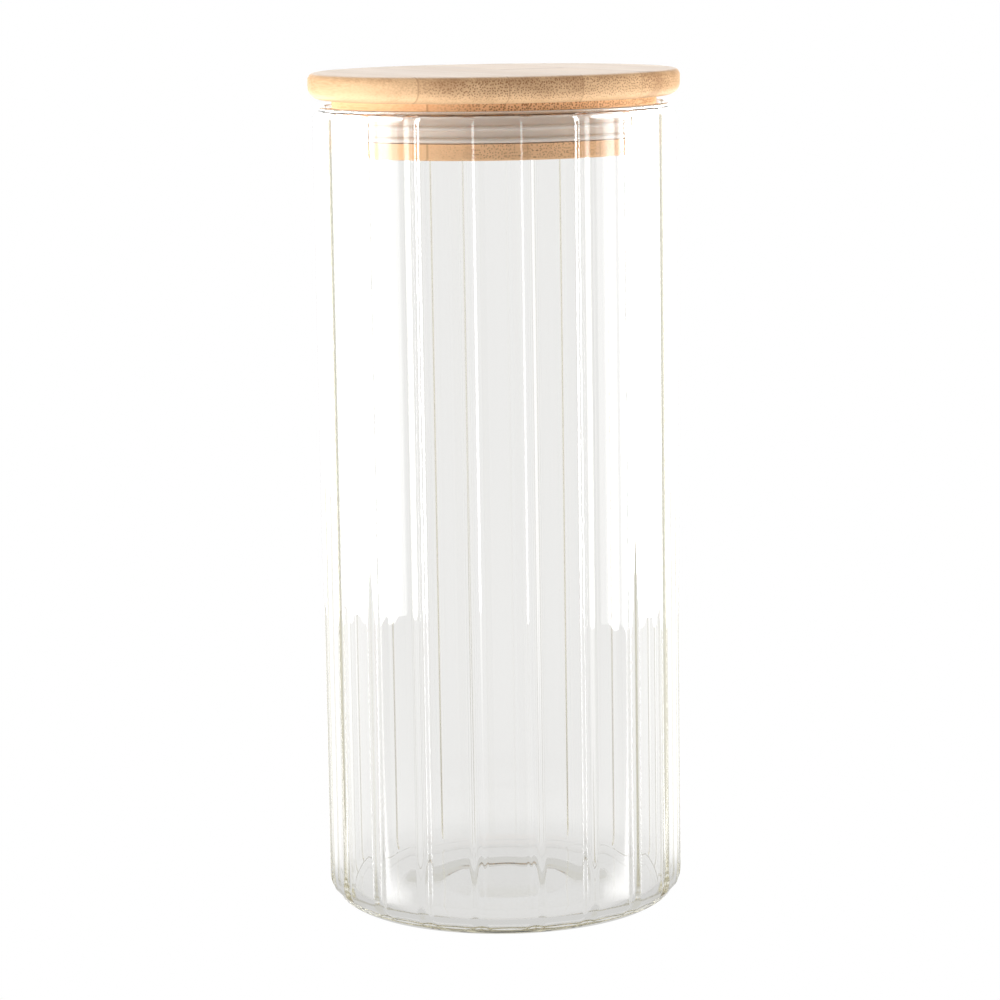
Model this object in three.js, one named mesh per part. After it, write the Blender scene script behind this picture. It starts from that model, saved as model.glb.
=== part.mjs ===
// Lidded glass canister: a tall glass jar with flat panels between upright grooves, closed by a bamboo
// lid with a silicone seal. Millimetres, +Z up, origin at the centre of the ring the jar stands on.
// The lid plugs into the jar's mouth. It lifts straight out, and it turns freely about the jar's axis.
import * as THREE from "three";

const quarter = Math.PI / 2;

const jar = {
  height: 225,
  radius: 50, // of the round rim and heel
  boreRadius: 47.3, // the inside is round and smooth
  panels: 20, // one of them faces -Y
  panelDistance: 49.8, // from the axis to the flat of a panel
  panelCornerRadius: 3,
  grooveDepth: 1.4, // below the ridge that two neighbouring flats would meet in
  grooveHalfWidth: 2.8,
  footStart: 2, // the height where the panels and grooves begin
  topEnd: 0.4, // they end this far below the rim
  fadeHeight: 1.4, // and grow to their full depth over this height at both ends
  heelRadius: 8, // the rounded corner between wall and foot
  restRadius: 31, // it stands on the flat ring between here and the heel
  pushRadius: 17, // of the raised middle of the underside, which slopes down to the ring
  pushUp: 1.7, // rise of that middle
  floorThickness: 3.4,
  floorRise: 0.8, // rise of the floor at its centre
  floorCornerRadius: 5.5,
  rimRadius: 1.2, // rounding of the rim, inside and outside
};

const lid = {
  radius: 51.4,
  thickness: 7.2,
  upperEdgeRadius: 2,
  lowerEdgeRadius: 3.4,
  standOff: 1.9, // from the jar's rim up to the disc
  glueLine: 0.1,
  plugRadius: 44.9,
  plugDepth: 15.1, // below the disc
  plugEdgeRadius: 0.8,
  grooveRadius: 42.7,
  grooveHeight: 8.3,
  grooveLift: 4.4, // height of the plain band of the plug below its groove
};

const seal = {
  clearance: 0.3, // to the groove, and from the lips to the jar's bore
  bandRadius: 45.5, // outside of the ring between its lips
  lips: 3,
  lipHeight: 1.5, // at the foot of a lip
  lipSlope: 0.5, // how far a lip's tip is below the ring's end of it
};

const stepsPerPanel = 8;
const jarSegments = jar.panels * stepsPerPanel;
const lidSegments = 72;

const halfPitch = Math.PI / jar.panels;

const discBottom = jar.height + lid.standOff;
const discTop = discBottom + lid.thickness;
const plugTop = discBottom - lid.glueLine;
const plugBottom = discBottom - lid.plugDepth;
const grooveBottom = plugBottom + lid.grooveLift;
const grooveTop = grooveBottom + lid.grooveHeight;

const glass = new THREE.MeshStandardMaterial({ color: 0xeef1ec, roughness: 0.03, metalness: 0 });
const bamboo = new THREE.MeshStandardMaterial({ color: 0xe2bd85, roughness: 0.5, metalness: 0 });
const roughBamboo = new THREE.MeshStandardMaterial({ color: 0xd0a06a, roughness: 0.65, metalness: 0 });
const silicone = new THREE.MeshStandardMaterial({ color: 0xe9e2d8, roughness: 0.45, metalness: 0 });

// A point of a profile: distance from the axis, then height.
const at = (radius, height) => new THREE.Vector2(radius, height);

// A round corner of a profile, about a centre, from one angle to another, both ends included.
function corner(centreRadius, centreHeight, size, from, to, steps) {
  return Array.from({ length: steps + 1 }, (_, i) => {
    const angle = THREE.MathUtils.lerp(from, to, i / steps);
    return at(centreRadius + size * Math.cos(angle), centreHeight + size * Math.sin(angle));
  });
}

// A solid turned about +Z from a profile whose outside runs upwards. The first vertices face -Y.
function turned(profile, segments) {
  return new THREE.LatheGeometry(profile, segments).rotateX(quarter);
}

function mesh(name, geometry, material) {
  const made = new THREE.Mesh(geometry, material);
  made.name = name;
  return made;
}

// Where a direction lies within half a panel: 0 at the groove, 1 at the middle of the flat.
function shareOfPanel(direction) {
  const { euclideanModulo } = THREE.MathUtils;
  return Math.abs(euclideanModulo(direction / halfPitch, 2) - 1);
}

// Moves the turned jar's evenly spaced columns together, so that most of them lie in the grooves.
function crowded(direction) {
  const share = shareOfPanel(direction);
  const inGroove = 1 - 2 / stepsPerPanel;
  const grooveShare = jar.grooveHalfWidth / (jar.radius * halfPitch);
  const moved = share < inGroove
    ? (share / inGroove) * grooveShare
    : THREE.MathUtils.mapLinear(share, inGroove, 1, grooveShare, 1);
  const panel = Math.round(direction / (2 * halfPitch));
  const side = Math.sign(direction - panel * 2 * halfPitch);
  return panel * 2 * halfPitch + side * (1 - moved) * halfPitch;
}

// How far in from a panel's outline a point is, on a panel that has round corners.
function inset(direction, height) {
  const side = shareOfPanel(direction) * halfPitch * jar.radius;
  const end = Math.min(height - jar.footStart, jar.height - jar.topEnd - height);
  const size = jar.panelCornerRadius;
  if (side < size && end < size) return size - Math.hypot(size - side, size - end);
  return Math.min(side, end);
}

// How far the outside lies below the round shape, with its flat panels and the grooves round them.
function pressedIn(direction, height) {
  const { clamp, smoothstep } = THREE.MathUtils;
  const end = Math.min(height - jar.footStart, jar.height - jar.topEnd - height);
  const flat = jar.panelDistance / Math.cos((1 - shareOfPanel(direction)) * halfPitch);
  const across = clamp(inset(direction, height) / jar.grooveHalfWidth, 0, 1);
  const groove = (jar.grooveDepth * (1 + Math.cos(Math.PI * across))) / 2;
  return (jar.radius - flat + groove) * smoothstep(end, 0, jar.fadeHeight);
}

// Presses the panels and grooves into a turned jar, on the vertices of the outside's part of its profile.
function pressPanels(geometry, profileLength, wallStart, wallEnd) {
  const position = geometry.getAttribute("position");
  for (let i = 0; i < position.count; i++) {
    const [x, y, z] = [position.getX(i), position.getY(i), position.getZ(i)];
    const direction = crowded(Math.atan2(x, -y));
    const step = i % profileLength;
    const pressed = step >= wallStart && step < wallEnd ? pressedIn(direction, z) : 0;
    const radius = Math.hypot(x, y) - pressed;
    position.setXYZ(i, radius * Math.sin(direction), -radius * Math.cos(direction), z);
  }
  geometry.computeVertexNormals();
  return geometry;
}

function glassJar() {
  const { height, radius, boreRadius, heelRadius, rimRadius, floorCornerRadius } = jar;
  const slope = [0, 0.25, 0.5, 0.75, 1].map((share) => at(
    THREE.MathUtils.lerp(jar.pushRadius, jar.restRadius, share),
    jar.pushUp * (1 - THREE.MathUtils.smoothstep(share, 0, 1)),
  ));
  const underside = [at(0, jar.pushUp), ...slope];
  const wall = [
    ...corner(radius - heelRadius, heelRadius, heelRadius, -quarter, 0, 8),
    ...[4.6, 3.4, 2.6, 1.8].map((belowRim) => at(radius, height - belowRim)),
    ...corner(radius - rimRadius, height - rimRadius, rimRadius, 0, quarter, 3),
  ];
  const rim = corner(
    boreRadius + rimRadius, height - rimRadius, rimRadius,
    quarter, 2 * quarter, 3,
  );
  const inside = [
    ...corner(
      boreRadius - floorCornerRadius, jar.floorThickness + floorCornerRadius, floorCornerRadius,
      0, -quarter, 4,
    ),
    at(0, jar.floorThickness + jar.floorRise),
  ];
  const profile = [...underside, ...wall, ...rim, ...inside];
  const wallStart = underside.length;
  const body = turned(profile, jarSegments);
  return mesh("glass_jar", pressPanels(body, profile.length, wallStart, wallStart + wall.length), glass);
}

function lidDisc() {
  const { radius, lowerEdgeRadius, upperEdgeRadius } = lid;
  const profile = [
    at(0, discBottom),
    ...corner(radius - lowerEdgeRadius, discBottom + lowerEdgeRadius, lowerEdgeRadius, -quarter, 0, 6),
    ...corner(radius - upperEdgeRadius, discTop - upperEdgeRadius, upperEdgeRadius, 0, quarter, 5),
    at(0, discTop),
  ];
  return mesh("lid_disc", turned(profile, lidSegments), bamboo);
}

function lidPlug() {
  const { plugRadius, plugEdgeRadius, grooveRadius } = lid;
  const profile = [
    at(0, plugBottom),
    ...corner(plugRadius - plugEdgeRadius, plugBottom + plugEdgeRadius, plugEdgeRadius, -quarter, 0, 3),
    at(plugRadius, grooveBottom),
    at(grooveRadius, grooveBottom),
    at(grooveRadius, grooveTop),
    at(plugRadius, grooveTop),
    at(plugRadius, plugTop),
    at(0, plugTop),
  ];
  return mesh("lid_plug", turned(profile, lidSegments), roughBamboo);
}

function siliconeSeal() {
  const inner = lid.grooveRadius + seal.clearance;
  const lipRadius = jar.boreRadius - seal.clearance;
  const bottom = grooveBottom + seal.clearance;
  const top = grooveTop - seal.clearance;
  const lipPitch = (top - bottom - seal.lipHeight) / (seal.lips - 1);
  const profile = [at(inner, bottom)];
  for (let i = 0; i < seal.lips; i++) {
    const foot = bottom + i * lipPitch;
    const tip = foot + seal.lipHeight - seal.lipSlope;
    profile.push(
      at(seal.bandRadius, foot),
      at(lipRadius, foot + seal.lipSlope),
      at(lipRadius, tip),
      at(seal.bandRadius, foot + seal.lipHeight),
    );
  }
  profile.push(at(inner, top), at(inner, bottom));
  return mesh("silicone_seal", turned(profile, lidSegments), silicone);
}

const canister = new THREE.Group();
canister.add(glassJar(), lidDisc(), lidPlug(), siliconeSeal());

export default canister;
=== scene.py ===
"""Looks for the lidded glass canister: a panelled glass jar, a bamboo lid and a silicone seal.

Metres, +Z up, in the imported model's frame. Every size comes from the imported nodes' boxes, apart from
the few dimensions below that the boxes can't say.
"""
import math

import bmesh
import bpy
from mathutils import Matrix, Vector


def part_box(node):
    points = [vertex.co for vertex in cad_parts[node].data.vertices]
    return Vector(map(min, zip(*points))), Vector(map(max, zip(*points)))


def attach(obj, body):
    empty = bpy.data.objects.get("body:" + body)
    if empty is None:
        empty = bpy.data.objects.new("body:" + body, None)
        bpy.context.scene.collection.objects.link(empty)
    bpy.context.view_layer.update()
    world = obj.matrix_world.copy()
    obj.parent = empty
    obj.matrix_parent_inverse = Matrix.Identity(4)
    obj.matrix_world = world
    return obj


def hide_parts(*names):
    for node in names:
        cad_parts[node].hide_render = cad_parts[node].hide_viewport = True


MM = 0.001
ON_AXIS = 1e-9  # points nearer to the axis than this are on it

# Jar dimensions that its box doesn't give.
PANELS = 20
PANEL_DISTANCE = 49.8 * MM
BORE_RADIUS = 47.3 * MM
HEEL_RADIUS = 8 * MM
REST_RADIUS = 31 * MM
PUSH_RADIUS = 17 * MM
PUSH_UP = 1.7 * MM
FLOOR_THICKNESS = 3.4 * MM
FLOOR_RISE = 0.8 * MM
FLOOR_CORNER = 5.5 * MM
RIM_ROUNDING = 1.2 * MM
PANEL_CORNER = 3 * MM
GROOVE_DEPTH = 1.4 * MM
GROOVE_HALF_WIDTH = 2.8 * MM
FOOT_START = 2 * MM
TOP_END = 0.4 * MM
FADE_HEIGHT = 1.4 * MM
HALF_PITCH = math.pi / PANELS

# How finely the jar is divided.
FLAT_STEPS = 6
GROOVE_STEPS = 20
UNDERSIDE_STEPS = 12
FLOOR_STEPS = 8
FLOOR_CORNER_STEPS = 16
HEEL_STEPS = 40
BORE_STEPS = 24
RIM_STEPS = 8
WALL_STEPS = 30
TOP_STEPS = 28  # over the top part of the wall, where the grooves end
TOP_PART = 8 * MM
RING_MARGIN = 1 * MM  # an extra ring of the underside before the heel, which keeps its shading flat

# Lid dimensions that its boxes don't give.
DISC_UPPER_EDGE = 2 * MM
DISC_LOWER_EDGE = 3.4 * MM
PLUG_EDGE = 0.8 * MM
GROOVE_RADIUS = 42.7 * MM
SEAL_GAP = 0.3 * MM
SEAL_BAND_RADIUS = 45.5 * MM
SEAL_LIPS = 3
SEAL_LIP_HEIGHT = 1.5 * MM
LIP_ARC = range(-75, 76, 15)  # degrees
LID_SEGMENTS = 192
DISC_FACE_STEPS = 8
DISC_EDGE_STEPS = (14, 12)  # of the lower edge, and of the upper one
PLUG_EDGE_STEPS = 6
SHARP_EDGE = math.radians(40)

# The two boards of the lid. Their lengths are in millimetres, and their rates are per millimetre.
DISC_GRAIN = math.radians(25)
PLUG_GRAIN = math.radians(35)
STRIP_WIDTH = 20
STRIP_SHIFT = 1.5
GLUE_CORE = 0.08
GLUE_EDGE = 0.25
BUNDLE_SPACING = (0.6, 0.75)  # across the grain, and upwards
BUNDLE_RANDOMNESS = 0.8
BUNDLE_SHIFT = 0.37  # from strip to strip
BUNDLE_WANDER = 2.5  # how far they swerve across the grain
BUNDLE_SIZE_AT_SKIN = 0.43  # in shares of the spacing, as is the next
BUNDLE_SIZE_DEEP = 0.27
BUNDLE_CORE = 0.55  # in shares of its size
DEEP = 9  # below the skin, where the bundles are smallest
DEPTH_VARIATION = 3  # from strip to strip
SKIN_AND_SHADE_DEPTH = 6  # of the darker wood near the skin; on the plug's top, under the disc, it is also painted shade
STEM_NODE_SPREAD = 200
STEM_NODE_CORE = 0.5
STEM_NODE_EDGE = 2.5
WANDER_RATES = (0.04, 1, 0)  # along the grain, and from strip to strip
FIBRE_RATES = (0.06, 2.6, 2.6)  # along the grain, across it, and upwards
CLOUD_RATES = (0.03, 0.2, 0.3)
STEM_NODE_SEED = 2.5
TONE_SEED = 4.5
DEPTH_SEED = 7.5

# How strongly each of these marks or varies the wood.
FIBRE_TONE = 0.7
CLOUD_TONE = 0.6
STRIP_TONE = 0.45
# Darker near the skin, as bamboo is; on the plug's top, right under the disc, this is also painted
# shade.
SKIN_AND_SHADE_TONE = -0.25
DARKEST_TONE = 0.1
PALEST_TONE = 1.1
STEM_NODE_MARK = 0.35
GLUE_MARK = 0.4
STREAK_MARK = 0.06
END_GRAIN_MARK = 0.85
SIDE_GRAIN = 0.5  # how far a face looks along the grain where the dots begin
END_GRAIN = 0.92  # and where they are full
# Painted sheen: faces that look up are blended towards a pale colour, standing in for the bright room
# mirrored at a grazing angle.
PAINTED_SHEEN_SHARE = 0.65
PAINTED_SHEEN_SLOPE = 0.8  # how far a face looks up where the painted sheen begins

# Colours, and the constants of the materials.
BUNDLE_COLOUR = (0.27, 0.12, 0.05)
DISC_PALE = (0.74, 0.49, 0.28)
DISC_DARK = (0.36, 0.19, 0.09)
DISC_ROUGHNESS = 0.4
# The pale colour of the painted sheen on faces that look up.
PAINTED_SHEEN_COLOUR = (0.98, 0.86, 0.74)
PLUG_PALE = (0.9, 0.57, 0.32)
PLUG_DARK = (0.7, 0.38, 0.18)
PLUG_ROUGHNESS = 0.55
BUNDLE_ROUGHNESS = 0.15  # more than the wood's
BAMBOO_SPECULAR = 0.2
BAMBOO_RELIEF = 0.06 * MM
FIBRE_HEIGHT = 0.4  # in shares of that
GLASS_IOR = 1.47
GLASS_TINT = (0.81, 0.78, 0.61, 1)
GLASS_DENSITY = 20
SILICONE_IOR = 1.41
SILICONE_WARM = (1, 0.77, 0.65)
SILICONE_PALE = (1, 0.84, 0.74)
SILICONE_CLARITY = 0.15
SILICONE_MILKINESS = 0.7
SILICONE_SPREAD = 4 * MM
SILICONE_SPREAD_OF_COLOURS = (1, 0.85, 0.75)
SILICONE_SMOOTHEST = 0.32
SILICONE_ROUGHEST = 0.42
SILICONE_RATES = (60, 0, 1500)  # per metre

# Brightness of the studio, where 1 is the white of the picture.
BACKDROP_THROUGH_GLASS = 0.9
BACKDROP_AT_SIDES = 1.12
SHADE_UNDER_JAR = 0.86
CEILING_THROUGH_GLASS = 0.4
FLOOR_AS_LIGHT = 1.2
WALLS_AS_LIGHT = 0.2
CEILING_AS_LIGHT = 0.1
BACKDROP_MIRRORED = 1.8
ROOM_MIRRORED = 0.3
MIRRORED_INSIDE_JAR = 0.66
STRIPE_MIRRORED = 7
CARD_EDGE = 10
CARD_MIDDLE = 30
CARD_FAR_END = 0.12  # times those

# Where the studio's brightness changes. Each pair is the start and the end of a soft change.
BEHIND_TO_SIDES = (0.27, 0.55)  # of the distance sideways over that towards +Y, plus the next
IN_FRONT = 0.15
ROOM_TO_BACKDROP = (-0.25, 0.1)  # towards +Y
LIT_WALLS_TO_CEILING = (0.2, 0.8)  # heights of a direction
SEEN_WALLS_TO_CEILING = (0.15, 0.6)
UNDER_TO_CLEAR = (0.06, 0.09)  # distances from the jar's axis, as is the next
SHADE_TO_CLEAR = (0.045, 0.1)
STRIPE_START = (0.05, 0.07)  # distances sideways
STRIPE_MIDDLE = -0.046
STRIPE_SPREAD = 0.1  # its half width, in shares of the distance sideways
STRIPE_SOFTNESS = 0.005
FLOOR_REACH = 20

# The cards, from front to back. The edge and the middle are measured from a card's front, the rest
# from the jar's axis.
CARD_EDGE_WIDTH = 0.11
CARD_MIDDLE_START = 0.09
CARD_MIDDLE_END = 0.27
CARD_FADE = (0.15, 0.7)
CARD_BACK = 1.2
CARD_HEIGHT = 0.85
CARDS = {  # x, and y of the front
    "left_card": (-0.47, -0.229),
    "right_card": (0.45, -0.191),
}

LAMPS_AIM = Vector((0, 0, 0.15))
LAMPS = {  # centre, size and watts
    "left_lamp": ((-0.6, -0.04, 0.1), (0.7, 0.3), 7),
    "right_lamp": ((0.6, 0.06, 0.1), (0.7, 0.3), 5.5),
    "top_lamp": ((0, 0, 1.25), (0.3, 0.3), 6),
}

BOUNCES = 32
MIRROR_BOUNCES = 24

CAMERA_LENS = 126.5  # millimetres, as is the next
CAMERA_SENSOR = 36
CAMERA_PLACE = (0, -0.977, 0.2689)
CAMERA_AZIMUTH = math.radians(-0.8)
CAMERA_PITCH = math.radians(9.02)
CAMERA_ROLL = math.radians(-0.87)


# ---------------------------------------------------------------- geometry


def corner(centre_radius, centre_height, size, start, end, steps):
    """Points of a round corner of a profile, from one angle to another in degrees, both included."""
    points = []
    for i in range(steps + 1):
        angle = math.radians(start + (end - start) * i / steps)
        points.append((centre_radius + size * math.cos(angle), centre_height + size * math.sin(angle)))
    return points


def line(first, last, steps):
    """Points along a straight stretch of a profile, without its ends."""
    return [
        tuple(a + (b - a) * i / steps for a, b in zip(first, last))
        for i in range(1, steps)
    ]


def turned(name, profile, angles, shape=None):
    """A piece turned about Z from a profile of (radius, height) points.

    A profile that doesn't start on the axis closes on itself. shape, if given, returns the radius at a
    point of the profile and an angle, which is measured from -Y towards +X.
    """
    bm = bmesh.new()
    rings = []
    for step, (radius, height) in enumerate(profile):
        if radius < ON_AXIS:
            rings.append([bm.verts.new((0, 0, height))])
            continue
        ring = []
        for angle in angles:
            r = shape(step, radius, height, angle) if shape else radius
            ring.append(bm.verts.new((r * math.sin(angle), -r * math.cos(angle), height)))
        rings.append(ring)
    pairs = list(zip(rings, rings[1:]))
    if len(rings[0]) > 1:
        pairs.append((rings[-1], rings[0]))
    count = len(angles)
    for low, high in pairs:
        for i in range(count):
            j = (i + 1) % count
            corners = [low[i % len(low)], low[j % len(low)], high[j % len(high)], high[i % len(high)]]
            bm.faces.new(list(dict.fromkeys(corners)))
    mesh = bpy.data.meshes.new(name)
    bm.to_mesh(mesh)
    bm.free()
    mesh.shade_smooth()
    piece = bpy.data.objects.new(name, mesh)
    bpy.context.scene.collection.objects.link(piece)
    return piece


def even_angles(count):
    return [2 * math.pi * i / count for i in range(count)]


def sharpen(piece):
    """Marks the edges of a smooth-shaded piece that turn sharply."""
    bm = bmesh.new()
    bm.from_mesh(piece.data)
    for edge in bm.edges:
        if len(edge.link_faces) == 2 and edge.calc_face_angle() > SHARP_EDGE:
            edge.smooth = False
    bm.to_mesh(piece.data)
    bm.free()


# ---------------------------------------------------------------- jar


def smoothstep(value, low, high):
    t = min(max((value - low) / (high - low), 0), 1)
    return t * t * (3 - 2 * t)


def panel_angles(radius):
    """Angles round the jar: few across each flat, and many over the grooves at its sides."""
    groove = GROOVE_HALF_WIDTH / radius
    half_flat = HALF_PITCH - groove
    angles = []
    for panel in range(PANELS):
        centre = 2 * HALF_PITCH * panel
        angles += [centre + half_flat * (2 * i / FLAT_STEPS - 1) for i in range(FLAT_STEPS)]
        angles += [centre + half_flat + 2 * groove * i / GROOVE_STEPS for i in range(GROOVE_STEPS)]
    return angles


def pressed_in(full_radius, height, top, angle):
    """How far the jar's outside lies below the round shape, at its flat panels and grooves."""
    from_middle = (angle + HALF_PITCH) % (2 * HALF_PITCH) - HALF_PITCH
    from_side = (HALF_PITCH - abs(from_middle)) * full_radius
    from_end = min(height - FOOT_START, top - TOP_END - height)
    inset = min(from_side, from_end)
    if from_side < PANEL_CORNER and from_end < PANEL_CORNER:
        inset = PANEL_CORNER - math.hypot(PANEL_CORNER - from_side, PANEL_CORNER - from_end)
    across = min(max(inset / GROOVE_HALF_WIDTH, 0), 1)
    groove = GROOVE_DEPTH * (1 + math.cos(math.pi * across)) / 2
    flat = PANEL_DISTANCE / math.cos(from_middle)
    return (full_radius - flat + groove) * smoothstep(from_end, 0, FADE_HEIGHT)


def jar_underside(outer):
    """From the raised middle down its slope to the ring that the jar stands on."""
    points = [(0, PUSH_UP)]
    for step in range(UNDERSIDE_STEPS + 1):
        radius = PUSH_RADIUS + (REST_RADIUS - PUSH_RADIUS) * step / UNDERSIDE_STEPS
        points.append((radius, PUSH_UP * (1 - smoothstep(radius, PUSH_RADIUS, REST_RADIUS))))
    points.append((outer - HEEL_RADIUS - RING_MARGIN, 0))
    return points


def jar_wall(outer, top):
    """The outside, from the heel to the middle of the rim."""
    top_part = top - TOP_PART
    rim_height = top - RIM_ROUNDING
    points = corner(outer - HEEL_RADIUS, HEEL_RADIUS, HEEL_RADIUS, -90, 0, HEEL_STEPS)
    points += line((outer, HEEL_RADIUS), (outer, top_part), WALL_STEPS)
    points += line((outer, top_part), (outer, rim_height), TOP_STEPS)
    points += corner(outer - RIM_ROUNDING, rim_height, RIM_ROUNDING, 0, 90, RIM_STEPS)
    return points


def jar_inside(top):
    """From the middle of the rim down the bore to the middle of the floor, which is raised a little."""
    rim_height = top - RIM_ROUNDING
    corner_height = FLOOR_THICKNESS + FLOOR_CORNER
    points = corner(BORE_RADIUS + RIM_ROUNDING, rim_height, RIM_ROUNDING, 90, 180, RIM_STEPS)
    points += line((BORE_RADIUS, rim_height), (BORE_RADIUS, corner_height), BORE_STEPS)
    points += corner(
        BORE_RADIUS - FLOOR_CORNER, corner_height, FLOOR_CORNER, 0, -90, FLOOR_CORNER_STEPS,
    )
    for step in range(FLOOR_STEPS):
        radius = REST_RADIUS * (1 - step / FLOOR_STEPS)
        rise = FLOOR_RISE * (1 - smoothstep(radius, 0, REST_RADIUS))
        points.append((radius, FLOOR_THICKNESS + rise))
    points.append((0, FLOOR_THICKNESS + FLOOR_RISE))
    return points


def make_jar():
    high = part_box("glass_jar")[1]
    outer, top = high.x, high.z
    underside = jar_underside(outer)
    wall = jar_wall(outer, top)
    first = len(underside)
    last = first + len(wall)

    def shape(step, radius, height, angle):
        if not first <= step < last:
            return radius
        return radius - pressed_in(outer, height, top, angle)

    profile = underside + wall + jar_inside(top)
    piece = turned("panelled_jar", profile, panel_angles(outer), shape)
    piece.data.materials.append(clear_glass())
    piece.visible_shadow = False
    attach(piece, "jar")
    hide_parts("glass_jar")
    return piece


# ---------------------------------------------------------------- lid and seal


def make_disc():
    low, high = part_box("lid_disc")
    radius = high.x
    lower, upper = DISC_LOWER_EDGE, DISC_UPPER_EDGE
    lower_steps, upper_steps = DISC_EDGE_STEPS
    profile = [(0, low.z)]
    profile += line((0, low.z), (radius - lower, low.z), DISC_FACE_STEPS)
    profile += corner(radius - lower, low.z + lower, lower, -90, 0, lower_steps)
    profile += corner(radius - upper, high.z - upper, upper, 0, 90, upper_steps)
    profile += line((radius - upper, high.z), (0, high.z), DISC_FACE_STEPS)
    profile += [(0, high.z)]
    piece = turned("bamboo_disc", profile, even_angles(LID_SEGMENTS))
    wood = bamboo("sanded_bamboo", DISC_GRAIN, high.z, DISC_PALE, DISC_DARK, DISC_ROUGHNESS)
    piece.data.materials.append(wood)
    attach(piece, "lid")
    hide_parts("lid_disc")


def make_plug():
    low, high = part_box("lid_plug")
    seal_low, seal_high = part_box("silicone_seal")
    radius = high.x
    groove_low = seal_low.z - SEAL_GAP
    groove_high = seal_high.z + SEAL_GAP
    profile = [(0, low.z)]
    profile += corner(radius - PLUG_EDGE, low.z + PLUG_EDGE, PLUG_EDGE, -90, 0, PLUG_EDGE_STEPS)
    profile += [(radius, groove_low), (GROOVE_RADIUS, groove_low)]
    profile += [(GROOVE_RADIUS, groove_high), (radius, groove_high)]
    profile += [(radius, high.z), (0, high.z)]
    piece = turned("bamboo_plug", profile, even_angles(LID_SEGMENTS))
    sharpen(piece)
    wood = bamboo("turned_bamboo", PLUG_GRAIN, high.z, PLUG_PALE, PLUG_DARK, PLUG_ROUGHNESS)
    piece.data.materials.append(wood)
    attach(piece, "lid")
    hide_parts("lid_plug")


def lip(foot, reach):
    """The outline of one lip of the seal: an arc that bulges outwards from the band."""
    half = SEAL_LIP_HEIGHT / 2
    points = [(SEAL_BAND_RADIUS, foot)]
    for angle in map(math.radians, LIP_ARC):
        radius = SEAL_BAND_RADIUS + reach * math.cos(angle)
        points.append((radius, foot + half + half * math.sin(angle)))
    points.append((SEAL_BAND_RADIUS, foot + SEAL_LIP_HEIGHT))
    return points


def make_seal():
    low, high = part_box("silicone_seal")
    inner = GROOVE_RADIUS + SEAL_GAP
    pitch = (high.z - low.z - SEAL_LIP_HEIGHT) / (SEAL_LIPS - 1)
    profile = [(inner, low.z)]
    for i in range(SEAL_LIPS):
        profile += lip(low.z + i * pitch, high.x - SEAL_BAND_RADIUS)
    profile.append((inner, high.z))
    piece = turned("lipped_seal", profile, even_angles(LID_SEGMENTS))
    sharpen(piece)
    piece.data.materials.append(frosted_silicone())
    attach(piece, "seal")
    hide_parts("silicone_seal")


# ---------------------------------------------------------------- shader nodes


def new_material(name):
    material = bpy.data.materials.new(name)
    material.use_nodes = True
    tree = material.node_tree
    return material, tree, tree.nodes["Principled BSDF"]


def linked(tree, value, socket):
    """Sets a socket to a number or a colour, or links another socket to it."""
    if isinstance(value, bpy.types.NodeSocket):
        tree.links.new(value, socket)
    elif isinstance(value, tuple):
        socket.default_value = (*value, 1)
    else:
        socket.default_value = value


def math_node(tree, operation, *values):
    """The result of a Math node, whose inputs are sockets or numbers."""
    node = tree.nodes.new("ShaderNodeMath")
    node.operation = operation
    for socket, value in zip(node.inputs, values):
        linked(tree, value, socket)
    return node.outputs["Value"]


def scaled(tree, source, factor):
    return math_node(tree, "MULTIPLY", source, factor)


def total(tree, result, *others):
    for other in others:
        result = math_node(tree, "ADD", result, other)
    return result


def size_of(tree, source):
    """A value without its sign."""
    return math_node(tree, "ABSOLUTE", source)


def apart(tree, first, second):
    """How far apart two values are."""
    return size_of(tree, math_node(tree, "SUBTRACT", first, second))


def vector(tree, x, y, z):
    node = tree.nodes.new("ShaderNodeCombineXYZ")
    for socket, value in zip(node.inputs, (x, y, z)):
        linked(tree, value, socket)
    return node.outputs["Vector"]


def noise(tree, place, rates):
    """Smooth noise from 0 to 1 over three coordinates, with about rates features in a unit of each."""
    node = tree.nodes.new("ShaderNodeTexNoise")
    node.inputs["Scale"].default_value = 1
    stretched = (scaled(tree, part, rate) for part, rate in zip(place, rates))
    tree.links.new(vector(tree, *stretched), node.inputs["Vector"])
    return node.outputs["Fac"]


def ramp(tree, source, low, high, start, end):
    """Maps a socket from low..high to start..end, smoothly."""
    node = tree.nodes.new("ShaderNodeMapRange")
    node.interpolation_type = "SMOOTHSTEP"
    linked(tree, source, node.inputs["Value"])
    linked(tree, low, node.inputs["From Min"])
    linked(tree, high, node.inputs["From Max"])
    linked(tree, start, node.inputs["To Min"])
    linked(tree, end, node.inputs["To Max"])
    return node.outputs["Result"]


def blend(tree, share, first, second):
    """A colour between two others, which are sockets or (red, green, blue)."""
    node = tree.nodes.new("ShaderNodeMix")
    node.data_type = "RGBA"
    linked(tree, share, node.inputs["Factor"])
    colours = [socket for socket in node.inputs if socket.type == "RGBA"]
    linked(tree, first, colours[0])
    linked(tree, second, colours[1])
    return next(socket for socket in node.outputs if socket.type == "RGBA")


def bumped(tree, height, depth):
    """A normal for a surface whose height runs from 0 to 1, over a depth."""
    node = tree.nodes.new("ShaderNodeBump")
    node.inputs["Distance"].default_value = depth
    tree.links.new(height, node.inputs["Height"])
    return node.outputs["Normal"]


def coordinate(tree, source, axis):
    """One axis of a texture coordinate."""
    coordinates = tree.nodes.new("ShaderNodeTexCoord")
    split = tree.nodes.new("ShaderNodeSeparateXYZ")
    tree.links.new(coordinates.outputs[source], split.inputs[0])
    return split.outputs[axis]


def random_of(tree, number, seed):
    """A random value from 0 to 1 for each whole number."""
    node = tree.nodes.new("ShaderNodeTexWhiteNoise")
    node.noise_dimensions = "2D"
    tree.links.new(vector(tree, number, seed, 0), node.inputs["Vector"])
    return node.outputs["Value"]


# ---------------------------------------------------------------- materials


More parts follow.
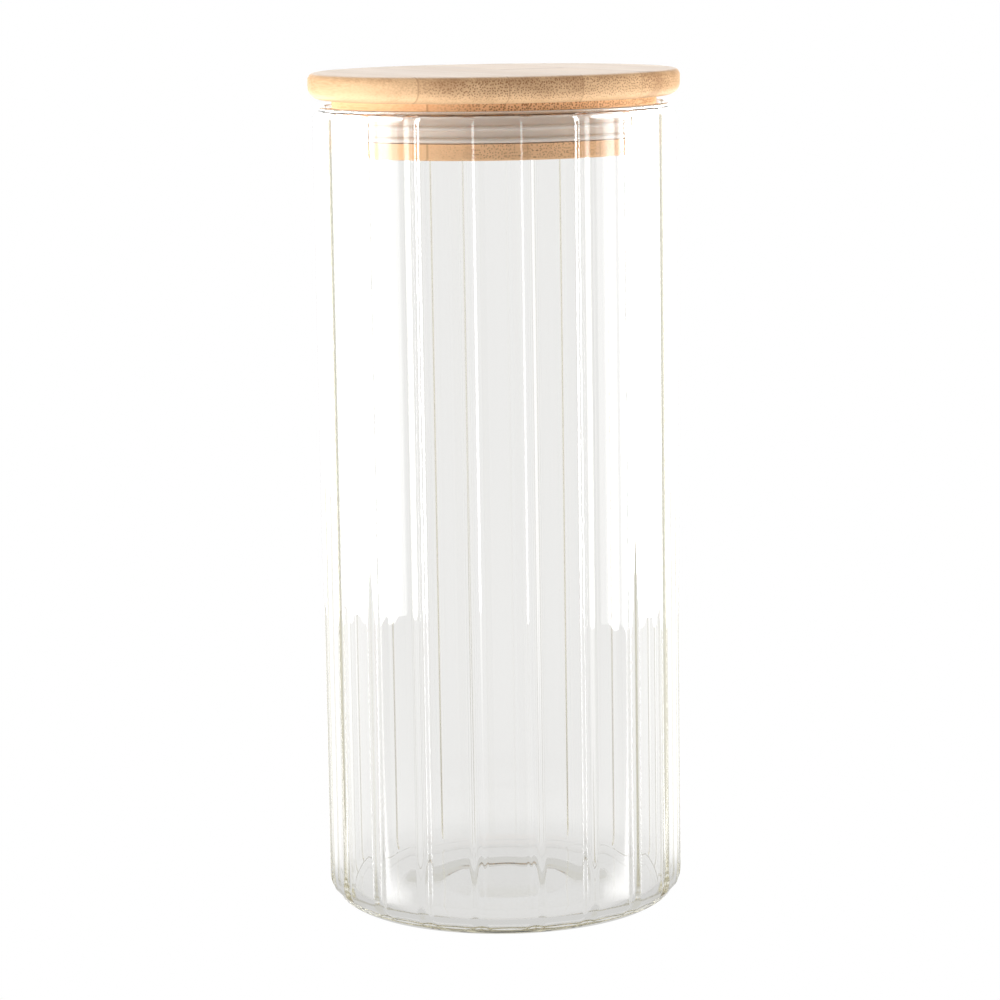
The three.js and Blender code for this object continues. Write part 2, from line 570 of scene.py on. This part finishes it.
def clear_glass():
    material, tree, shader = new_material("clear_glass")
    shader.inputs["Base Color"].default_value = (1, 1, 1, 1)
    shader.inputs["Transmission Weight"].default_value = 1
    shader.inputs["Roughness"].default_value = 0
    shader.inputs["IOR"].default_value = GLASS_IOR
    tint = tree.nodes.new("ShaderNodeVolumeAbsorption")
    tint.inputs["Color"].default_value = GLASS_TINT
    tint.inputs["Density"].default_value = GLASS_DENSITY
    tree.links.new(tint.outputs["Volume"], tree.nodes["Material Output"].inputs["Volume"])
    return material


def grain_axes(tree, source, grain, size):
    """A texture coordinate along a board's grain, across it, and up, each divided by size."""
    x, y, z = (coordinate(tree, source, axis) for axis in "XYZ")
    sine, cosine = math.sin(grain) / size, math.cos(grain) / size
    along = math_node(tree, "SUBTRACT", scaled(tree, x, sine), scaled(tree, y, cosine))
    across = total(tree, scaled(tree, x, cosine), scaled(tree, y, sine))
    return along, across, scaled(tree, z, 1 / size)


def strips(tree, across):
    """The glued strips of a board: a socket that numbers them, and the distance to the glue."""
    from_edge = math_node(tree, "SUBTRACT", across, STRIP_SHIFT)
    place = math_node(tree, "DIVIDE", from_edge, STRIP_WIDTH)
    number = math_node(tree, "FLOOR", place)
    from_middle = apart(tree, math_node(tree, "FRACT", place), 0.5)
    from_glue = scaled(tree, math_node(tree, "SUBTRACT", 0.5, from_middle), STRIP_WIDTH)
    return number, from_glue


def bundles(tree, place, number, to_skin):
    """The dark fibre bundles of bamboo: dots on its end grain, and streaks along its sides."""
    along, across, height = place
    wander = scaled(tree, noise(tree, (along, number, 0), WANDER_RATES), BUNDLE_WANDER)
    shifted = total(tree, across, wander, scaled(tree, number, BUNDLE_SHIFT))
    spacing_across, spacing_up = BUNDLE_SPACING
    sideways = scaled(tree, shifted, 1 / spacing_across)
    upwards = scaled(tree, height, 1 / spacing_up)
    node = tree.nodes.new("ShaderNodeTexVoronoi")
    node.voronoi_dimensions = "2D"
    node.inputs["Scale"].default_value = 1
    node.inputs["Randomness"].default_value = BUNDLE_RANDOMNESS
    tree.links.new(vector(tree, sideways, upwards, 0), node.inputs["Vector"])
    variation = scaled(tree, random_of(tree, number, DEPTH_SEED), DEPTH_VARIATION)
    depth = total(tree, to_skin, variation)
    size = ramp(tree, depth, 0, DEEP, BUNDLE_SIZE_AT_SKIN, BUNDLE_SIZE_DEEP)
    return ramp(tree, node.outputs["Distance"], scaled(tree, size, BUNDLE_CORE), size, 1, 0)


def nodes_of_stem(tree, along, number):
    """Narrow darker bands across some strips, where the bamboo stem had its joints."""
    place = math_node(tree, "SUBTRACT", random_of(tree, number, STEM_NODE_SEED), 0.5)
    distance = apart(tree, along, scaled(tree, place, STEM_NODE_SPREAD))
    return ramp(tree, distance, STEM_NODE_CORE, STEM_NODE_EDGE, 1, 0)


def wood_colour(tree, place, number, fibre, to_skin, pale, dark):
    """The wood between the bundles. It is darker near the skin, also as painted shade under the disc,
    and has a painted sheen on top.
    """
    tone = total(
        tree,
        scaled(tree, fibre, FIBRE_TONE),
        scaled(tree, noise(tree, place, CLOUD_RATES), CLOUD_TONE),
        scaled(tree, random_of(tree, number, TONE_SEED), STRIP_TONE),
        # Darker near the skin, as bamboo is; on the plug, whose skin is its top under the disc, also
        # painted shade.
        ramp(tree, to_skin, 0, SKIN_AND_SHADE_DEPTH, SKIN_AND_SHADE_TONE, 0),
    )
    wood = blend(tree, ramp(tree, tone, DARKEST_TONE, PALEST_TONE, 0, 1), dark, pale)
    # Painted sheen: faces that look up are blended towards a pale colour, standing in for the room
    # mirrored at a grazing angle.
    painted_sheen = ramp(tree, coordinate(tree, "Normal", "Z"), PAINTED_SHEEN_SLOPE, 1, 0, PAINTED_SHEEN_SHARE)
    return blend(tree, painted_sheen, wood, PAINTED_SHEEN_COLOUR)


def bamboo(name, grain, skin_height, pale, dark, roughness):
    """Bamboo strips glued side by side, whose bundles are larger near the height of the skin."""
    material, tree, shader = new_material(name)
    place = grain_axes(tree, "Object", grain, MM)
    along, across, height = place
    number, from_glue = strips(tree, across)
    to_skin = apart(tree, height, skin_height / MM)
    fibre = noise(tree, place, FIBRE_RATES)
    bundle = bundles(tree, place, number, to_skin)
    end_grain = size_of(tree, grain_axes(tree, "Normal", grain, 1)[0])
    strength = ramp(tree, end_grain, SIDE_GRAIN, END_GRAIN, STREAK_MARK, END_GRAIN_MARK)
    dots = scaled(tree, bundle, strength)
    joint = scaled(tree, nodes_of_stem(tree, along, number), STEM_NODE_MARK)
    glue = ramp(tree, from_glue, GLUE_CORE, GLUE_EDGE, GLUE_MARK, 0)
    marks = math_node(tree, "MAXIMUM", math_node(tree, "MAXIMUM", dots, joint), glue)
    wood = wood_colour(tree, place, number, fibre, to_skin, pale, dark)
    tree.links.new(blend(tree, marks, wood, BUNDLE_COLOUR), shader.inputs["Base Color"])
    rougher = ramp(tree, bundle, 0, 1, roughness, roughness + BUNDLE_ROUGHNESS)
    tree.links.new(rougher, shader.inputs["Roughness"])
    shader.inputs["Specular IOR Level"].default_value = BAMBOO_SPECULAR
    relief = math_node(tree, "SUBTRACT", scaled(tree, fibre, FIBRE_HEIGHT), dots)
    tree.links.new(bumped(tree, relief, BAMBOO_RELIEF), shader.inputs["Normal"])
    return material


def frosted_silicone():
    """Milky silicone that the bamboo shows through, with faint streaks from its mould."""
    material, tree, shader = new_material("silicone")
    place = (coordinate(tree, "Object", "X"), 0, coordinate(tree, "Object", "Z"))
    cloud = noise(tree, place, SILICONE_RATES)
    tree.links.new(blend(tree, cloud, SILICONE_WARM, SILICONE_PALE), shader.inputs["Base Color"])
    roughness = ramp(tree, cloud, 0.3, 0.7, SILICONE_SMOOTHEST, SILICONE_ROUGHEST)
    tree.links.new(roughness, shader.inputs["Roughness"])
    shader.inputs["Transmission Weight"].default_value = SILICONE_CLARITY
    shader.inputs["Subsurface Weight"].default_value = SILICONE_MILKINESS
    shader.inputs["Subsurface Radius"].default_value = SILICONE_SPREAD_OF_COLOURS
    shader.inputs["Subsurface Scale"].default_value = SILICONE_SPREAD
    shader.inputs["IOR"].default_value = SILICONE_IOR
    return material


# ---------------------------------------------------------------- stage


def light_path(tree, name, over):
    """A value that is 1 on light paths where a Light Path output is over a number, and 0 on others."""
    path = tree.nodes.new("ShaderNodeLightPath")
    return math_node(tree, "GREATER_THAN", path.outputs[name], over)


def studio_brightness(tree, forward, sideways, shade, as_light, mirrored):
    """The brightness of the floor or backdrop, for each kind of light path.

    Seen straight on they are white. Through the glass they are a little dimmer straight behind the
    jar than at its sides, and are multiplied by shade. as_light is their brightness as a light on the
    lid, and mirrored where something mirrors them. forward and sideways are places towards +Y and +X.
    """
    spread = math_node(tree, "DIVIDE", size_of(tree, sideways), total(tree, forward, IN_FRONT))
    behind = ramp(tree, spread, *BEHIND_TO_SIDES, BACKDROP_THROUGH_GLASS, BACKDROP_AT_SIDES)
    through = scaled(tree, behind, shade)
    straight_on = ramp(tree, light_path(tree, "Is Camera Ray", 0.5), 0, 1, through, 1)
    seen = ramp(tree, light_path(tree, "Glossy Depth", 0.5), 0, 1, straight_on, mirrored)
    return ramp(tree, light_path(tree, "Diffuse Depth", 0.5), 0, 1, seen, as_light)


def front_to_back(tree, forward):
    """The room as things mirror it: dim towards the camera, at -Y, and bright behind the jar.

    Light that is mirrored deep inside the jar finds the room white and the backdrop dimmer.
    """
    inside = light_path(tree, "Transmission Depth", 0.5)
    deep_inside = light_path(tree, "Transmission Depth", 2.5)
    room = ramp(tree, deep_inside, 0, 1, ROOM_MIRRORED, 1)
    behind_glass = ramp(tree, deep_inside, 0, 1, 1, MIRRORED_INSIDE_JAR)
    back = ramp(tree, inside, 0, 1, BACKDROP_MIRRORED, behind_glass)
    return ramp(tree, forward, *ROOM_TO_BACKDROP, room, back)


def near_reflection(tree, surfaces):
    """A value that is 1 on light mirrored once, after passing through a number of surfaces at most."""
    once = light_path(tree, "Glossy Depth", 0.5)
    often = light_path(tree, "Glossy Depth", 1.5)
    deep = light_path(tree, "Transmission Depth", surfaces + 0.5)
    return math_node(tree, "SUBTRACT", once, math_node(tree, "MAXIMUM", often, deep))


def floor_stripe(tree, forward, sideways):
    """A bright stripe of floor from the jar to the softbox at either side, which the grooves mirror."""
    reach = size_of(tree, sideways)
    off_middle = apart(tree, forward, STRIPE_MIDDLE)
    from_edge = math_node(tree, "SUBTRACT", off_middle, scaled(tree, reach, STRIPE_SPREAD))
    across = ramp(tree, from_edge, -STRIPE_SOFTNESS, STRIPE_SOFTNESS, STRIPE_MIRRORED, 0)
    return scaled(tree, across, ramp(tree, reach, *STRIPE_START, 0, 1))


def floor_brightness(tree):
    """The floor, which is dimmer under the jar and has a bright stripe in the jar's outer surface."""
    forward = coordinate(tree, "Object", "Y")
    sideways = coordinate(tree, "Object", "X")
    squares = [math_node(tree, "POWER", size_of(tree, part), 2) for part in (forward, sideways)]
    distance = math_node(tree, "SQRT", total(tree, *squares))
    room = front_to_back(tree, forward)
    around = ramp(tree, distance, *UNDER_TO_CLEAR, MIRRORED_INSIDE_JAR, room)
    stripe = scaled(tree, floor_stripe(tree, forward, sideways), near_reflection(tree, 0))
    shade = ramp(tree, distance, *SHADE_TO_CLEAR, SHADE_UNDER_JAR, 1)
    mirrored = total(tree, around, stripe)
    return studio_brightness(tree, forward, sideways, shade, FLOOR_AS_LIGHT, mirrored)


def glow_material(name, strength_of):
    """A material that only glows. strength_of returns the strength's socket in its node tree."""
    material = bpy.data.materials.new(name)
    material.use_nodes = True
    material.cycles.emission_sampling = "NONE"
    tree = material.node_tree
    tree.nodes.clear()
    output = tree.nodes.new("ShaderNodeOutputMaterial")
    glow = tree.nodes.new("ShaderNodeEmission")
    tree.links.new(strength_of(tree), glow.inputs["Strength"])
    tree.links.new(glow.outputs[0], output.inputs["Surface"])
    return material


def show_only_in_reflections(tree):
    """Makes a glowing material clear, except where the jar mirrors it directly."""
    clear = tree.nodes.new("ShaderNodeBsdfTransparent")
    mix = tree.nodes.new("ShaderNodeMixShader")
    tree.links.new(near_reflection(tree, 2), mix.inputs["Fac"])
    tree.links.new(clear.outputs[0], mix.inputs[1])
    tree.links.new(tree.nodes["Emission"].outputs[0], mix.inputs[2])
    tree.links.new(mix.outputs[0], tree.nodes["Material Output"].inputs["Surface"])


def sheet(name, corners, material):
    """A flat face of the stage."""
    bm = bmesh.new()
    bm.faces.new([bm.verts.new(c) for c in corners])
    mesh = bpy.data.meshes.new(name)
    bm.to_mesh(mesh)
    bm.free()
    mesh.materials.append(material)
    made = bpy.data.objects.new(name, mesh)
    bpy.context.scene.collection.objects.link(made)
    return made


def make_floor():
    far = FLOOR_REACH
    corners = [(-far, -far, 0), (far, -far, 0), (far, far, 0), (-far, far, 0)]
    sheet("floor", corners, glow_material("pale_floor", floor_brightness))


def make_world():
    world = bpy.data.worlds.new("studio")
    bpy.context.scene.world = world
    world.use_nodes = True
    world.cycles.sampling_method = "NONE"
    tree = world.node_tree
    background = tree.nodes["Background"]
    background.inputs["Color"].default_value = (1, 1, 1, 1)
    forward = coordinate(tree, "Generated", "Y")
    sideways = coordinate(tree, "Generated", "X")
    up = coordinate(tree, "Generated", "Z")
    as_light = ramp(tree, up, *LIT_WALLS_TO_CEILING, WALLS_AS_LIGHT, CEILING_AS_LIGHT)
    shade = ramp(tree, up, *SEEN_WALLS_TO_CEILING, 1, CEILING_THROUGH_GLASS)
    mirrored = front_to_back(tree, forward)
    brightness = studio_brightness(tree, forward, sideways, shade, as_light, mirrored)
    tree.links.new(brightness, background.inputs["Strength"])


def make_card(name, x, front, mirrors):
    """The reflection of a tall softbox beside the jar, which starts softly at its front edge.

    It shows only in reflections, on the pieces in mirrors, and is clear to every other light path.
    """
    def strength(tree):
        forward = coordinate(tree, "Object", "Y")
        edge = ramp(tree, forward, front, front + CARD_EDGE_WIDTH, ROOM_MIRRORED, CARD_EDGE)
        start, end = front + CARD_MIDDLE_START, front + CARD_MIDDLE_END
        middle = ramp(tree, forward, start, end, 0, CARD_MIDDLE - CARD_EDGE)
        fade = ramp(tree, forward, *CARD_FADE, 1, CARD_FAR_END)
        return scaled(tree, total(tree, edge, middle), fade)

    material = glow_material(name, strength)
    show_only_in_reflections(material.node_tree)
    back, height = CARD_BACK, CARD_HEIGHT
    corners = [(x, front, 0), (x, back, 0), (x, back, height), (x, front, height)]
    card = sheet(name, corners, material)
    card.visible_camera = False
    card.visible_diffuse = False
    card.visible_shadow = False
    card.light_linking.receiver_collection = mirrors


def make_lamp(name, centre, size, power):
    """A softbox that lights the lid, and isn't mirrored by the glass."""
    light = bpy.data.lights.new(name, "AREA")
    light.shape = "RECTANGLE"
    light.size, light.size_y = size
    light.energy = power
    lamp = bpy.data.objects.new(name, light)
    bpy.context.scene.collection.objects.link(lamp)
    lamp.location = centre
    lamp.rotation_mode = "QUATERNION"
    lamp.rotation_quaternion = (LAMPS_AIM - Vector(centre)).to_track_quat("-Z", "Y")
    lamp.visible_camera = False
    lamp.visible_glossy = False
    lamp.visible_transmission = False


def make_lights(jar):
    mirrors = bpy.data.collections.new("mirrors_of_cards")
    mirrors.objects.link(jar)
    for name, (x, front) in CARDS.items():
        make_card(name, x, front, mirrors)
    for name, (centre, size, power) in LAMPS.items():
        make_lamp(name, centre, size, power)


def make_camera():
    camera = bpy.data.cameras.new("camera")
    camera.lens = CAMERA_LENS
    camera.sensor_width = CAMERA_SENSOR
    holder = bpy.data.objects.new("camera", camera)
    bpy.context.scene.collection.objects.link(holder)
    place = Matrix.Rotation(CAMERA_AZIMUTH, 4, "Z") @ Matrix.Translation(CAMERA_PLACE)
    tilt = Matrix.Rotation(math.pi / 2 - CAMERA_PITCH, 4, "X")
    holder.matrix_world = place @ tilt @ Matrix.Rotation(CAMERA_ROLL, 4, "Z")
    bpy.context.scene.camera = holder


# ---------------------------------------------------------------- scene

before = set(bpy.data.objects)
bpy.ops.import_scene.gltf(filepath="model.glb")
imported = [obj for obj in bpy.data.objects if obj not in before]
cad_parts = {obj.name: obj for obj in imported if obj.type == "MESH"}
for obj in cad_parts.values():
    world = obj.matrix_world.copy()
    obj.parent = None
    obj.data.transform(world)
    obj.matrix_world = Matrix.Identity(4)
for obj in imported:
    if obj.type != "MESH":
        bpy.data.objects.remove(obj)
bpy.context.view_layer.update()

bpy.context.scene.view_settings.view_transform = "Standard"
bpy.context.scene.cycles.max_bounces = BOUNCES
bpy.context.scene.cycles.glossy_bounces = MIRROR_BOUNCES
bpy.context.scene.cycles.transmission_bounces = BOUNCES
jar = make_jar()
make_disc()
make_plug()
make_seal()
make_floor()
make_world()
make_lights(jar)
make_camera()
